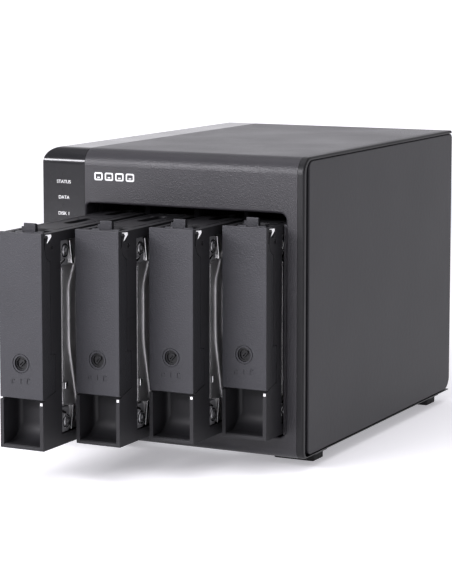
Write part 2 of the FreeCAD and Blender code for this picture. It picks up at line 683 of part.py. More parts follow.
def lock_rotor(number):
    """Plug that turns a quarter turn, with a raised pointer in its dished face and a cam behind the plate."""
    x = bay_x(number)
    y = -pull_out[number]
    plug = rod((x, y + 0.9, lock_z), (0, 1, 0), lock_radius, 6.0)
    dish = rod((x, y + 0.5, lock_z), (0, 1, 0), lock_radius - 0.7, 1.4)
    pointer = prism("y", [(x - 1.9, lock_z - 1.5, 0.5), (x - 0.6, lock_z - 1.9, 0.3), (x + 1.9, lock_z + 0.9, 0.5),
                          (x + 1.5, lock_z + 1.9, 0.5), (x - 0.5, lock_z + 2.0, 0.5)], y + 0.8, y + 2.0)
    key = box(x - 1.2, x + 1.2, y, y + 1.7, lock_z - 0.35, lock_z + 0.35)
    key.rotate(Vector(x, y, lock_z), Vector(0, 1, 0), -45)
    cam = slot("y", x, lock_z, 9.0, 3.4, y + 6.8, y + 8.2)
    return join([plug.cut(dish), pointer.cut(key), cam])


def tray_carrier(number):
    """Moulded tray: the front block with its finger recess, and two plates tied by a side web."""
    x = bay_x(number)
    y = -pull_out[number]
    x0, x1 = x - half_width, x + half_width
    back = y + tray_block_depth
    block = box(x0, x1, y, back, tray_bottom, tray_top - 0.5)
    outline = [(y + c[0],) + tuple(c[1:]) for c in flange_outline(gap)]
    front_relief = box(x0 - 1, x1 + 1, y - 1, y + plate_thickness + gap, handle_bottom - 1.0, tray_top + 1)
    py, pz = y + pivot_back, pivot_z
    swing = box(x0 - 1, x1 + 1, y - 2, py - 1.9, pz - 7.5, pz + 5.3)
    ears = rod((x - 40, py, pz), (1, 0, 0), ear_radius - 0.3, 80)
    layers = join([box(a, b, y - 3, back + 1, 0, 200) for a, b in
                   ((x0 - 1, x0 + flange + 0.25), (x1 - flange - 0.25, x1 + 1))])
    side_reliefs = [join([prism("x", outline, x0 - 1, x1 + 1), swing]).cut(ears).common(layers)]
    rounded = [(y - 1, tray_bottom + 0.5), (y + 0.7, tray_bottom + 2.2), (y + recess_depth, tray_bottom + 2.2, 9.0),
               (y + recess_depth, handle_bottom + 6), (y - 1, handle_bottom + 6)]
    recess = panel("z", x0 + 2.0, x1 - 2.0, y - 1, y + recess_depth, (0, 0, 2.5, 2.5), tray_bottom, handle_bottom + 6)
    recess = recess.common(prism("x", rounded, x0, x1))
    pocket = box(x0 + 3.0, x1 - 3.0, y - 1, y + tray_block_depth - 2.0, handle_bottom + 7.6, pivot_z - 9.0)
    block = cut(block, [front_relief, recess, pocket] + side_reliefs + hinge_reliefs(x, y))
    block = soften(block, 0.4, lambda e: at(e, y=y) and e.BoundBox.ZMax < handle_bottom - 3)
    body = join([block] + tray_rails(x, y))
    tools = [rod((x0 - 1, py, pz), (1, 0, 0), pin_radius + 0.02, tray_width + 2), tab_room(x, y),
             stop_plate(x, y - 1.0, y + 2.0, 0.04)]
    return max(cut(body, tools).Solids, key=lambda s: s.Volume)


def hinge_reliefs(x, y):
    """Space for the hinge: behind the plate, round the barrel and for the spring leaf."""
    x0, x1 = x - half_width, x + half_width
    py, pz = y + pivot_back, pivot_z
    ahead = [(y - 2, pz - 6), (py - 7.8, pz - 6), (py - 7.8, pz + 0.5), (py - 7.2, pz + 3.0), (py - 6.0, pz + 5.0),
             (py - 3.5, pz + 7.4), (py - 3.5, pz + 20), (y - 2, pz + 20)]
    inside = [(y - 2, pz - 5.5), (py + 3.6, pz - 5.5), (py + 3.6, pz - 0.1), (py + 8.4, pz + 4.6),
              (py + 8.4, pz + 20), (y - 2, pz + 20)]
    return [prism("x", ahead, x0 - 1, x1 + 1), prism("x", inside, x - ear_inside, x + ear_inside),
            prism("x", leaf_outline(y, 0.15), x1 - 2.65, x1 + 1)]


def tab_room(x, y):
    """The slot in the top plate into which the tab swings back."""
    py, pz = y + pivot_back, pivot_z
    outline = [(py - 1, pz + 3), (py + 2, pz + 3), (py + 13, pz + 6.3), (py + 13, pz + 20), (py - 1, pz + 20)]
    return prism("x", outline, x - tab_half - 2.1, x + tab_half + 0.4)


def leaf_outline(y, grow):
    """Side view of the bright closing spring on the right ear, as corners in (y, z)."""
    py, pz, g = y + pivot_back, pivot_z, grow
    return [(py - 4.1 - g, pz + 5.9 - g), (py - 4.1 - g, pz + 6.9 + g), (py - 0.5 + g, pz + 6.9 + g, 0.4),
            (py - 0.5 + g, pz + 5.6), (py - 2.7 + g, pz + 2.5 - g, 0.4), (py - 5.2 - g, pz + 2.5 - g, 0.4),
            (py - 3.4 - g, pz + 5.9 - g)]


def stop_plate(x, front, back, grow):
    """Small steel stop in the front of the recess's right wall, just below the handle."""
    x1 = x + half_width
    return box(x1 - 1.75 - grow, x1 - 0.35 + grow, front, back + grow,
               handle_bottom - 2.9 - grow, handle_bottom - 1.5 + grow)


def tray_rails(x, y):
    """Top and bottom plates with their lips, bars and slots, and the side web with windows."""
    x0, x1 = x - half_width, x + half_width
    start, end = y + tray_block_depth - 2.0, y + drive_back + 1.0
    pieces = []
    for inner, outer in ((drive_top + 0.3, tray_top - 0.5), (drive_bottom - 0.3, tray_bottom)):
        up = 1 if outer > inner else -1
        low, high = sorted((inner, outer))
        z0, z1 = sorted((outer - up * plate_lift, outer))
        groove = sorted((outer - up * 0.5, outer + up))
        plate = box(x0, x1, start, end, z0, z1)
        slots = [slot("z", x - 1.0, y + c, 6.4, 27.0, z0 - 1, z1 + 1) for c in (62, 106, 146)]
        slots += [rod((x - 6.0, y + c, z0 - 1), (0, 0, 1), 1.42, 4) for c in drive_pin_places]
        slots.append(panel("z", x + 7.4, x + 8.4, y + 24, y + 132, 0.4, *groove))
        slots.append(panel("z", x - 10.4, x - 9.6, y + 24, y + 132, 0.3, *groove))
        slots += [panel("z", x - 10.0, x + 8.0, y + c, y + c + 0.9, 0.3, *groove) for c in (24, 84, 131)]
        lips = [box(a, a + 1.6, start, end, low, high) for a in (x0, x1 - 1.6)]
        crosses = [box(x0, x1, y + c, y + c + 1.6, low, high) for c in (40, 90, 136)]
        pieces += [cut(plate, slots)] + lips + crosses
    web = box(x0 - 1.3, x0 - 0.3, start + 4, end, tray_bottom + 7.0, tray_top - 6.5)
    windows = [panel("x", y + a, y + a + 26, b, b + 26, 4, x0 - 2, x0)
               for a in (28, 62, 96, 130) for b in (drive_bottom + 6, drive_bottom + 38, drive_bottom + 70)]
    ties = [box(x0 - 1.3, x0 + 1.0, start + 4, end, low, high) for low, high in
            ((tray_bottom + 4.6, tray_bottom + 5.4), (drive_top + 0.3, drive_top + 1.2))]
    ties += [box(x0 - 1.3, x0 - 0.3, start + 4, end, low, high) for low, high in
             ((tray_bottom + 4.6, tray_bottom + 7.1), (tray_top - 6.6, drive_top + 1.2))]
    return pieces + [cut(web, windows)] + ties


def tray_steel(number):
    """Steel pieces of one tray: hinge pin, slanted spring leaf, stop and the drive's locating pins."""
    x = bay_x(number)
    y = -pull_out[number]
    pin = rod((x - half_width + 1.2, y + pivot_back, pivot_z), (1, 0, 0), pin_radius, tray_width - 2.4)
    x1, py = x + half_width, y + pivot_back
    slant = prism("z", [(x1 - 1.9, py - 5.4), (x1 - 0.1, py - 0.4), (x1 - 0.7, py - 0.4), (x1 - 2.5, py - 5.4)], 0, 200)
    leaf = prism("x", leaf_outline(y, 0.0), x1 - 2.55, x1 - 0.05).common(slant)
    pins = []
    length = (tray_height - drive_height) / 2 - 0.8 + 1.6
    for place_y in drive_pin_places:
        for z, direction in ((drive_top - 1.6, 1), (drive_bottom + 1.6, -1)):
            pins.append(rod((x - 6.0, y + place_y, z), (0, 0, direction), 1.4, length))
    return [pin, leaf, stop_plate(x, y + 0.1, y + 2.0, 0.0)] + pins


# ---------------------------------------------------------------- hard drives
corner_notch = (9.0, 13.0)
cover_low = 9.6                # the cover's underside, right of the tray's centre


def drive_body(number):
    """Cast aluminium base of a drive, hollow for its discs, with the plug pocket at the back."""
    x = bay_x(number)
    y = -pull_out[number]
    y0, y1 = y + drive_front, y + drive_back
    low = x - drive_thickness / 2 + 0.05
    body = panel("x", y0, y1, drive_bottom, drive_top, 1.5, low + 3.2, x + cover_low)
    rim = panel("x", y0, y1, drive_bottom, drive_top, 1.5, low, low + 3.4).cut(
        panel("x", y0 + 5, y1 - 5, drive_bottom + 4, drive_top - 4, 2, low - 1, low + 3.2))
    bosses = [panel("x", a, a + corner_notch[0], b, b + corner_notch[1], 2.0, x + cover_low - 0.1, x + cover_low + 1.9)
              for a in (y0 + 0.2, y1 - corner_notch[0] - 0.2)
              for b in (drive_bottom + 0.2, drive_top - corner_notch[1] - 0.2)]
    disc_y = y0 + 51.5
    centre_z = (drive_bottom + drive_top) / 2
    cavity = join([rod((low + 6.5, disc_y, centre_z), (1, 0, 0), 48.4, 30),
                   box(low + 6.5, x + 30, y0 + 60, y1 - 18, drive_bottom + 8, drive_top - 8)])
    hub = rod((low + 6.0, disc_y, centre_z), (1, 0, 0), 14, 11.5)
    discs = [rod((low + 8.6 + 3.6 * i, disc_y, centre_z), (1, 0, 0), 47.5, 1.3) for i in range(3)]
    plug = box(x - 11.6, x - 4.8, y1 - 6.5, y1 + 1, socket_z - plug_half - 0.4, socket_z + plug_half + 0.4)
    blade = box(x - 8.6, x - 7.8, y1 - 6.6, y1 - 0.8, socket_z - plug_half + 3, socket_z + plug_half - 3)
    pin_holes = []
    for place_y in drive_pin_places:
        for z, direction in ((drive_top + 1, -1), (drive_bottom - 1, 1)):
            pin_holes.append(rod((x - 6.0, y + place_y, z), (0, 0, direction), 1.5, 4.0))
    return join([cut(join([body, rim] + bosses), [cavity, plug] + pin_holes), blade, hub] + discs)


def cover_outline(y0, y1):
    """Outline of the stamped cover: a rectangle with a notch at each corner for the cast bosses."""
    a, b = corner_notch[0] + 0.6, corner_notch[1] + 0.6
    low, high = drive_bottom + 0.3, drive_top - 0.3
    y0, y1 = y0 + 0.3, y1 - 0.3
    return [(y0 + a, low, 1), (y1 - a, low, 1), (y1 - a, low + b, 2), (y1, low + b, 1), (y1, high - b, 1),
            (y1 - a, high - b, 2), (y1 - a, high, 1), (y0 + a, high, 1), (y0 + a, high - b, 2),
            (y0, high - b, 1), (y0, low + b, 1), (y0 + a, low + b, 2)]


def drive_cover(number):
    """Stamped steel cover of a drive, with the raised part over its discs."""
    x = bay_x(number)
    y = -pull_out[number]
    y0, y1 = y + drive_front, y + drive_back
    plate = prism("x", cover_outline(y0, y1), x + cover_low + 0.02, x + cover_low + 1.0)
    centre_z = (drive_bottom + drive_top) / 2
    steps = []
    for inset, rise in ((0.0, 2.2), (6.5, 3.2)):
        f = y0 + 9.6 + inset
        low, high = drive_bottom + 8 + inset, drive_top - 8 - inset
        steps.append(prism("x", [
            (f, 71, 50), (f, 102, 14), (f + 9, high, 8), (y0 + 94 - inset, high, 12),
            (y0 + 108 - inset, centre_z + 20, 10), (y0 + 108 - inset, centre_z - 20, 10),
            (y0 + 94 - inset, low, 12), (f + 9, low, 8)], x + cover_low + 0.9, x + cover_low + rise))
    first = soften(steps[0], 1.1, lambda e: at(e, x=x + cover_low + 2.2))
    second = soften(steps[1], 0.9, lambda e: at(e, x=x + cover_low + 3.2))
    tail = panel("x", y0 + 114, y1 - 5, drive_bottom + 18, drive_top - 18, 5, x + cover_low + 0.9, x + cover_low + 1.8)
    tail = soften(tail, 0.6, lambda e: at(e, x=x + cover_low + 1.8))
    return join([plate, first, second, tail])


def drive_board(number):
    """Circuit board in the shallow tray at the drive's left, with its two main chips."""
    x = bay_x(number)
    y = -pull_out[number]
    low = x - drive_thickness / 2 + 0.05
    y0, y1 = y + drive_front + 52, y + drive_back - 7
    board = prism("x", [(y0, drive_bottom + 5), (y1, drive_bottom + 5), (y1, drive_top - 5),
                        (y0 + 34, drive_top - 5, 4), (y0 + 34, drive_top - 34, 4), (y0, drive_top - 46, 4)],
                  low + 1.0, low + 2.2)
    chips = [box(low + 2.1, low + 3.1, y0 + a, y0 + a + 12, drive_bottom + b, drive_bottom + b + 12)
             for a, b in ((12, 18), (50, 30))]
    return join([board] + chips)


# ---------------------------------------------------------------- build and export
def main():
    os.makedirs("parts", exist_ok=True)
    save("front_bezel", front_bezel())
    save("gloss_strip", gloss_strip())
    save("top_cover", top_cover())
    save("side_frame_right", side_frame_right())
    save("side_frame_left", side_frame_left())
    save("side_panel_right", side_panel(1))
    save("side_panel_left", side_panel(-1))
    save("chassis_base", chassis_base())
    save("foot_blocks", foot_blocks())
    save("foot_pads", foot_pads())
    save("power_button", push_button(power_z, power_radius))
    save("copy_button", push_button(copy_z, copy_radius))
    save("front_usb_port", front_usb_port())
    save("light_guides", light_guides())
    save("status_board", status_board())
    save("guide_rack_upper", guide_rack(True))
    save("guide_rack_lower", guide_rack(False))
    save("cage_walls", cage_walls())
    save("backplane_board", backplane_board())
    save("drive_sockets", drive_sockets())
    save("main_board", main_board())
    save("heat_sink", heat_sink())
    save("board_parts", board_parts())
    save("lan_jacks", lan_jacks())
    save("rear_usb_ports", rear_usb_ports())
    save("power_jack", power_jack())
    save("reset_button", reset_button())
    save("rear_panel", rear_panel())
    save("socket_plate", socket_plate())
    screws = [screw(x, z, rear_y + sheet, 3.4, 1.9, 9.0) for x, z in fan_holes]
    screws += [screw(x, z, rear_y + sheet, 2.8, 1.4, 4.5) for x, z in case_screw_places]
    save("rear_screws", screws)
    save("fan_frame", fan_frame())
    save("fan_rotor", fan_rotor())
    for number in range(bay_count):
        label = f"_{number + 1}"
        save("tray_carrier" + label, tray_carrier(number))
        save("tray_handle" + label, handle(number))
        save("tray_lock" + label, lock_rotor(number))
        save("tray_steel" + label, tray_steel(number))
        save("drive_body" + label, drive_body(number))
        save("drive_cover" + label, drive_cover(number))
        save("drive_board" + label, drive_board(number))


main()
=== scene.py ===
"""Looks of a four-bay network storage box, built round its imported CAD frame.

Metres, in the CAD's own frame: X to the right across the front, Y to the back, Z up, desk at Z = 0.
"""
import math
import random

import bmesh
import bpy
from mathutils import Matrix, Vector


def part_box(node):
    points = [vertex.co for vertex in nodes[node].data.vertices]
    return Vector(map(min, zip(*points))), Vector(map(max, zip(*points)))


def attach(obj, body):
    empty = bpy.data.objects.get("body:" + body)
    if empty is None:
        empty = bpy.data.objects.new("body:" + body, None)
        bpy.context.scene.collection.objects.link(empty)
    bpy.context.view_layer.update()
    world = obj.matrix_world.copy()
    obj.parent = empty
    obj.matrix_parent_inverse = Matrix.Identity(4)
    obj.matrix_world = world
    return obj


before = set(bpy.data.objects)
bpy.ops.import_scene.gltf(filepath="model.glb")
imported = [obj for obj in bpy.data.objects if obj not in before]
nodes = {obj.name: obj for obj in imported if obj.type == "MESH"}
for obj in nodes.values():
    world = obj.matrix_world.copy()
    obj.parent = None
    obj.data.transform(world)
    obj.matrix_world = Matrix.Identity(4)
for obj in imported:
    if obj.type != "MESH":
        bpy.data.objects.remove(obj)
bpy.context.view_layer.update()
scene = bpy.context.scene
mm = 0.001
bays = (1, 2, 3, 4)


# ---------------------------------------------------------------- shader helpers
class Shader:
    """A Principled material with short names for the nodes used here."""

    def __init__(self, name):
        self.material = bpy.data.materials.new(name)
        self.material.use_nodes = True
        self.tree = self.material.node_tree
        self.main = self.tree.nodes["Principled BSDF"]
        self.place = self.add("ShaderNodeTexCoord").outputs["Object"]

    def add(self, kind, **settings):
        node = self.tree.nodes.new(kind)
        for key, value in settings.items():
            setattr(node, key, value)
        return node

    def link(self, source, target):
        self.tree.links.new(source, target)

    def set(self, **values):
        for key, value in values.items():
            self.main.inputs[key.replace("_", " ")].default_value = value

    def stretched(self, x, y, z):
        node = self.add("ShaderNodeMapping")
        node.inputs["Scale"].default_value = (x, y, z)
        self.link(self.place, node.inputs["Vector"])
        return node.outputs["Vector"]

    def noise(self, scale, detail=2.0, rough=0.5, vector=None):
        node = self.add("ShaderNodeTexNoise")
        node.inputs["Scale"].default_value = scale
        node.inputs["Detail"].default_value = detail
        node.inputs["Roughness"].default_value = rough
        self.link(vector or self.place, node.inputs["Vector"])
        return node.outputs["Fac"]

    def cells(self, scale, vector=None, feature="F1", output="Distance"):
        node = self.add("ShaderNodeTexVoronoi", feature=feature)
        node.inputs["Scale"].default_value = scale
        self.link(vector or self.place, node.inputs["Vector"])
        return node.outputs[output]

    def span(self, value, low, high, start=0.0, end=1.0):
        """Rescales a value from low..high to start..end, and clamps it."""
        node = self.add("ShaderNodeMapRange")
        for key, number in (("From Min", low), ("From Max", high), ("To Min", start), ("To Max", end)):
            node.inputs[key].default_value = number
        self.link(value, node.inputs["Value"])
        return node.outputs["Result"]

    def colour(self, factor, first, second):
        node = self.add("ShaderNodeMix", data_type="RGBA")
        node.inputs["A"].default_value = (*first, 1)
        node.inputs["B"].default_value = (*second, 1)
        self.link(factor, node.inputs["Factor"])
        return node.outputs["Result"]

    def over(self, factor, base, second):
        """Lays a plain colour over a linked one where factor is 1."""
        node = self.add("ShaderNodeMix", data_type="RGBA")
        self.link(base, node.inputs["A"])
        node.inputs["B"].default_value = (*second, 1)
        self.link(factor, node.inputs["Factor"])
        return node.outputs["Result"]

    def math(self, kind, first, second=None):
        node = self.add("ShaderNodeMath", operation=kind)
        for socket, value in zip(node.inputs, (first, second)):
            if value is None:
                continue
            if isinstance(value, (int, float)):
                socket.default_value = value
            else:
                self.link(value, socket)
        return node.outputs["Value"]

    def bump(self, height, strength, distance, under=None):
        node = self.add("ShaderNodeBump")
        node.inputs["Strength"].default_value = strength
        node.inputs["Distance"].default_value = distance
        self.link(height, node.inputs["Height"])
        if under is not None:
            self.link(under, node.inputs["Normal"])
        return node.outputs["Normal"]

    def paint(self, colour=None, rough=None, normal=None):
        for value, socket in ((colour, "Base Color"), (rough, "Roughness"), (normal, "Normal")):
            if value is not None:
                self.link(value, self.main.inputs[socket])
        return self.material


def shade(colour, factor):
    return tuple(min(1.0, c * factor) for c in colour)


def grained_plastic(name, colour, rough, grain=1500.0, depth=0.25, level=0.5, painted_flank_shade=None):
    """Spark-eroded moulding grain, with faint mottling. The flank colour is painted shade: a darker tone laid on the
    faces that look sideways, standing in for the shade that neighbouring parts cast on them.
    """
    s = Shader(name)
    s.set(Specular_IOR_Level=level)
    fine = s.noise(grain, 2.0, 0.6)
    pits = s.cells(grain * 0.8)
    mottle = s.noise(45.0, 3.0)
    tone = s.colour(s.span(mottle, 0.3, 0.7), shade(colour, 0.93), shade(colour, 1.07))
    tone = s.over(s.span(fine, 0.55, 0.8, 0.0, 0.5), tone, shade(colour, 1.3))
    # Painted shade: faces whose normal points along X get the darker flank colour, in place of the shade from the
    # neighbouring trays.
    if painted_flank_shade:
        split = s.add("ShaderNodeSeparateXYZ")
        s.link(s.add("ShaderNodeNewGeometry").outputs["Normal"], split.inputs["Vector"])
        tone = s.over(s.span(s.math("ABSOLUTE", split.outputs["X"]), 0.6, 0.9), tone, painted_flank_shade)
    worn = s.span(s.math("ADD", s.noise(18.0, 4.0), s.math("MULTIPLY", fine, 0.3)), 0.5, 0.85, rough + 0.03, rough - 0.05)
    normal = s.bump(pits, depth, 0.0002, s.bump(fine, depth, 0.00025))
    return s.paint(tone, worn, normal)


def smooth_plastic(name, colour, rough, level=0.5):
    """Plain moulding with a soft sheen, flow marks and a few fine scuffs."""
    s = Shader(name)
    s.set(Specular_IOR_Level=level)
    flow = s.noise(30.0, 4.0, 0.6, s.stretched(1, 0.35, 1))
    scuffs = s.span(s.noise(600.0, 2.0, 0.5, s.stretched(1, 0.05, 0.4)), 0.62, 0.75)
    tone = s.colour(s.span(flow, 0.3, 0.7), shade(colour, 0.9), shade(colour, 1.12))
    sheen = s.math("ADD", s.span(flow, 0.3, 0.7, rough - 0.05, rough + 0.06), s.math("MULTIPLY", scuffs, 0.06))
    return s.paint(tone, sheen, s.bump(s.noise(900.0, 2.0), 0.1, 0.0002))


def gloss_plastic(name, colour):
    """Piano-black moulding: mirror gloss with a trace of dust and wiping marks."""
    s = Shader(name)
    s.set(Coat_Weight=0.05, Coat_Roughness=0.05, Specular_IOR_Level=0.34)
    wipe = s.noise(40.0, 3.0, 0.5, s.stretched(0.3, 1, 1))
    dust = s.span(s.noise(2600.0, 1.0), 0.72, 0.8)
    tone = s.colour(s.math("MULTIPLY", dust, 0.5), colour, (0.12, 0.12, 0.12))
    rough = s.math("ADD", s.span(wipe, 0.3, 0.75, 0.13, 0.19), s.math("MULTIPLY", dust, 0.2))
    return s.paint(tone, rough, s.bump(s.noise(12.0, 1.0), 0.02, 0.001))


def powder_paint(name, colour, rough, peel=420.0):
    """Paint on sheet steel: orange peel at the scale of a millimetre or two, and a slight flake."""
    s = Shader(name)
    s.set(Specular_IOR_Level=0.28)
    peel_height = s.noise(peel, 2.0, 0.4)
    flake = s.span(s.cells(3200.0, output="Distance"), 0.1, 0.5)
    tone = s.colour(s.span(s.noise(8.0, 3.0), 0.3, 0.7), shade(colour, 0.99), shade(colour, 1.015))
    tone = s.over(s.math("MULTIPLY", s.math("SUBTRACT", 1.0, flake), 0.12), tone, shade(colour, 1.8))
    sheen = s.span(s.noise(25.0, 3.0), 0.3, 0.7, rough - 0.008, rough + 0.01)
    return s.paint(tone, sheen, s.bump(peel_height, 0.12, 0.0004))


def metal(name, colour, rough, grain=(1, 40, 40), depth=0.08, flecks=900.0, purity=1.0):
    """Bare metal with directional grain. grain is how much finer it is along each axis."""
    s = Shader(name)
    s.set(Metallic=purity)
    lines = s.noise(25.0, 4.0, 0.7, s.stretched(*grain))
    cloud = s.noise(55.0, 3.0)
    fleck = s.noise(flecks, 2.0)
    tone = s.colour(s.span(cloud, 0.25, 0.75), shade(colour, 0.85), shade(colour, 1.1))
    tone = s.over(s.span(lines, 0.55, 0.9, 0.0, 0.35), tone, shade(colour, 0.6))
    sheen = s.math("ADD", s.span(lines, 0.2, 0.8, rough - 0.06, rough + 0.08), s.span(cloud, 0.3, 0.7, 0.0, 0.05))
    return s.paint(tone, sheen, s.bump(fleck, depth, 0.0002, s.bump(lines, depth, 0.0003)))


def rubber(name, colour):
    s = Shader(name)
    s.set(Specular_IOR_Level=0.3)
    pebble = s.cells(1400.0)
    tone = s.colour(s.span(s.noise(120.0, 3.0), 0.3, 0.7), shade(colour, 0.8), shade(colour, 1.5))
    return s.paint(tone, s.span(s.noise(300.0), 0.3, 0.7, 0.75, 0.9), s.bump(pebble, 0.4, 0.0003))


def circuit_board(name, axis):
    """Solder resist over copper: tracks at right angles, vias and tinned pads. axis is the board's normal."""
    s = Shader(name)
    u, v = [(1, 2), (0, 2), (0, 1)][axis]
    split = s.add("ShaderNodeSeparateXYZ")
    s.link(s.place, split.inputs["Vector"])
    across, along = split.outputs[u], split.outputs[v]
    block = s.cells(85.0, output="Color")
    pick = s.add("ShaderNodeSeparateColor")
    s.link(block, pick.inputs["Color"])
    tracks = []
    for coordinate, chooser in ((across, "Red"), (along, "Green")):
        stripe = s.math("PINGPONG", s.math("MULTIPLY", coordinate, 900.0), 1.0)
        line = s.span(stripe, 0.62, 0.7)
        tracks.append(s.math("MULTIPLY", line, s.span(pick.outputs[chooser], 0.45, 0.5)))
    copper = s.math("MAXIMUM", *tracks)
    vias = s.span(s.cells(420.0), 0.1, 0.16, 1.0, 0.0)
    tone = s.colour(copper, (0.006, 0.05, 0.025), (0.02, 0.13, 0.06))
    tone = s.over(s.math("MULTIPLY", vias, 0.8), tone, (0.5, 0.48, 0.4))
    return s.paint(tone, s.span(vias, 0.0, 1.0, 0.28, 0.2), s.bump(copper, 0.3, 0.0001))


def smoked_glass(name, colour):
    s = Shader(name)
    s.set(Transmission_Weight=0.35, Specular_IOR_Level=0.5)
    tone = s.colour(s.span(s.noise(900.0), 0.3, 0.7), shade(colour, 0.8), shade(colour, 1.2))
    return s.paint(tone, s.span(s.noise(200.0), 0.3, 0.7, 0.06, 0.12))


def printed_ink(name, colour):
    """Screen-printed ink, slightly uneven."""
    s = Shader(name)
    tone = s.colour(s.span(s.noise(2500.0, 3.0), 0.3, 0.7), shade(colour, 0.88), colour)
    return s.paint(tone, s.span(s.noise(900.0), 0.3, 0.7, 0.4, 0.55), s.bump(s.noise(3000.0), 0.1, 0.0001))


bezel_colour = (0.026, 0.025, 0.0285)
bezel = grained_plastic("bezel_grain", bezel_colour, 0.38, 1700.0, 0.40, 0.38)
# The last colour is painted shade: a darker tone on the handles' sideways faces, where neighbouring trays shade them.
handle_plastic = grained_plastic("handle_grain", (0.026, 0.026, 0.0305), 0.45, 1500.0, 0.4, 0.38,
                                 (0.014, 0.014, 0.016))
tray_plastic = smooth_plastic("tray_black", (0.013, 0.0127, 0.0145), 0.5, 0.35)
trim = smooth_plastic("trim_black", (0.006, 0.006, 0.007), 0.42, 0.3)
foot_plastic = smooth_plastic("foot_plastic", (0.022, 0.0215, 0.024), 0.45)
gloss = gloss_plastic("strip_gloss", (0.011, 0.011, 0.0125))
panel_paint = powder_paint("panel_paint", (0.017, 0.0165, 0.0195), 0.45)
rear_paint = powder_paint("rear_paint", (0.02, 0.02, 0.021), 0.42, 700.0)
lock_black = smooth_plastic("lock_black", (0.006, 0.006, 0.007), 0.36, 0.35)
button_gloss = gloss_plastic("button_gloss", (0.02, 0.02, 0.022))
rubber_black = rubber("foot_rubber", (0.018, 0.018, 0.018))
zinc_sheet = metal("zinc_sheet", (0.56, 0.57, 0.58), 0.34, (1, 12, 1), 0.06)
casting = metal("cast_aluminium", (0.30, 0.30, 0.31), 0.5, (1, 1, 1), 0.3, 1600.0, 0.7)
cover_steel = metal("cover_steel", (0.50, 0.495, 0.50), 0.33, (1, 3, 1), 0.015, 900.0, 0.75)
bright_steel = metal("bright_steel", (0.82, 0.82, 0.82), 0.14, (1, 1, 1), 0.03)
polished = metal("polished_lip", (0.78, 0.78, 0.78), 0.16, (1, 1, 1), 0.08)
screw_steel = metal("screw_steel", (0.45, 0.45, 0.46), 0.28, (1, 1, 1), 0.06)
tin_shell = metal("tin_shell", (0.66, 0.66, 0.66), 0.26, (1, 8, 1), 0.05)
fin_aluminium = metal("fin_aluminium", (0.74, 0.75, 0.76), 0.3, (1, 1, 20), 0.08)
gold = metal("gold_plate", (0.9, 0.62, 0.24), 0.2, (1, 1, 1), 0.02)
port_blue = smooth_plastic("port_blue", (0.02, 0.10, 0.42), 0.4)
port_black = smooth_plastic("port_black", (0.015, 0.015, 0.015), 0.5)
fan_black = smooth_plastic("fan_black", (0.02, 0.02, 0.021), 0.38)
chip_black = smooth_plastic("chip_black", (0.022, 0.022, 0.023), 0.55)
board_x = circuit_board("board_upright", 0)
board_y = circuit_board("board_across", 1)
smoked = smoked_glass("lamp_smoke", (0.02, 0.02, 0.022))
ink_white = printed_ink("ink_white", (0.86, 0.86, 0.86))
label_silver = printed_ink("label_silver", (0.62, 0.63, 0.64))
ink_grey = printed_ink("ink_grey", (0.16, 0.16, 0.17))
ceramic = smooth_plastic("ceramic_tan", (0.30, 0.21, 0.13), 0.5)

materials = {
    "front_bezel": bezel, "gloss_strip": gloss, "top_cover": bezel, "side_frame_right": trim,
    "side_frame_left": zinc_sheet, "side_panel_right": panel_paint, "side_panel_left": panel_paint,
    "chassis_base": rear_paint, "foot_blocks": foot_plastic, "foot_pads": rubber_black, "power_button": button_gloss,
    "copy_button": button_gloss, "front_usb_port": tin_shell, "light_guides": gloss, "status_board": board_y,
    "guide_rack_upper": tray_plastic, "guide_rack_lower": tray_plastic, "cage_walls": zinc_sheet,
    "backplane_board": board_y, "drive_sockets": port_black, "main_board": board_x, "heat_sink": fin_aluminium,
    "board_parts": chip_black, "lan_jacks": tin_shell, "rear_usb_ports": tin_shell, "power_jack": port_black,
    "reset_button": button_gloss, "rear_panel": rear_paint, "socket_plate": rear_paint, "rear_screws": screw_steel,
    "fan_frame": fan_black, "fan_rotor": fan_black,
}
for bay in bays:
    materials.update({
        f"tray_carrier_{bay}": tray_plastic, f"tray_handle_{bay}": handle_plastic, f"tray_lock_{bay}": lock_black,
        f"tray_steel_{bay}": bright_steel, f"drive_body_{bay}": casting, f"drive_cover_{bay}": cover_steel,
        f"drive_board_{bay}": board_x,
    })
for name, node in nodes.items():
    node.data.materials.clear()
    node.data.materials.append(materials[name])


# ---------------------------------------------------------------- mesh helpers
def piece(name, mesh, material, body):
    """Links a bmesh as one named piece that rides on a CAD body."""
    data = bpy.data.meshes.new(name)
    bmesh.ops.recalc_face_normals(mesh, faces=mesh.faces)
    mesh.to_mesh(data)
    mesh.free()
    data.materials.append(material)
    thing = bpy.data.objects.new(name, data)
    scene.collection.objects.link(thing)
    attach(thing, body)
    return thing


def block(mesh, low, high, bevel=0.0, segments=2):
    """Adds a box between two corners, with bevelled edges."""
    low, high = Vector(low), Vector(high)
    made = bmesh.ops.create_cube(mesh, size=1.0)["verts"]
    bmesh.ops.scale(mesh, vec=high - low, verts=made)
    bmesh.ops.translate(mesh, vec=(low + high) / 2, verts=made)
    if bevel:
        edges = list({e for v in made for e in v.link_edges})
        bmesh.ops.bevel(mesh, geom=edges, offset=bevel, segments=segments, affect="EDGES", profile=0.5)


def outline_solid(mesh, points, place, depth):
    """Adds a flat outline, extruded. place(u, v, w) gives the 3-D point."""
    front = [mesh.verts.new(place(u, v, 0.0)) for u, v in points]
    back = [mesh.verts.new(place(u, v, depth)) for u, v in points]
    mesh.faces.new(front)
    mesh.faces.new(list(reversed(back)))
    for i in range(len(points)):
        j = (i + 1) % len(points)
        mesh.faces.new((front[i], front[j], back[j], back[i]))


def rounded(u0, u1, v0, v1, radius, steps=5):
    """The outline of a rectangle with round corners."""
    points = []
    for cu, cv, start in ((u1 - radius, v1 - radius, 0), (u0 + radius, v1 - radius, 90),
                          (u0 + radius, v0 + radius, 180), (u1 - radius, v0 + radius, 270)):
        for i in range(steps + 1):
            angle = math.radians(start + 90 * i / steps)
            points.append((cu + radius * math.cos(angle), cv + radius * math.sin(angle)))
    return points


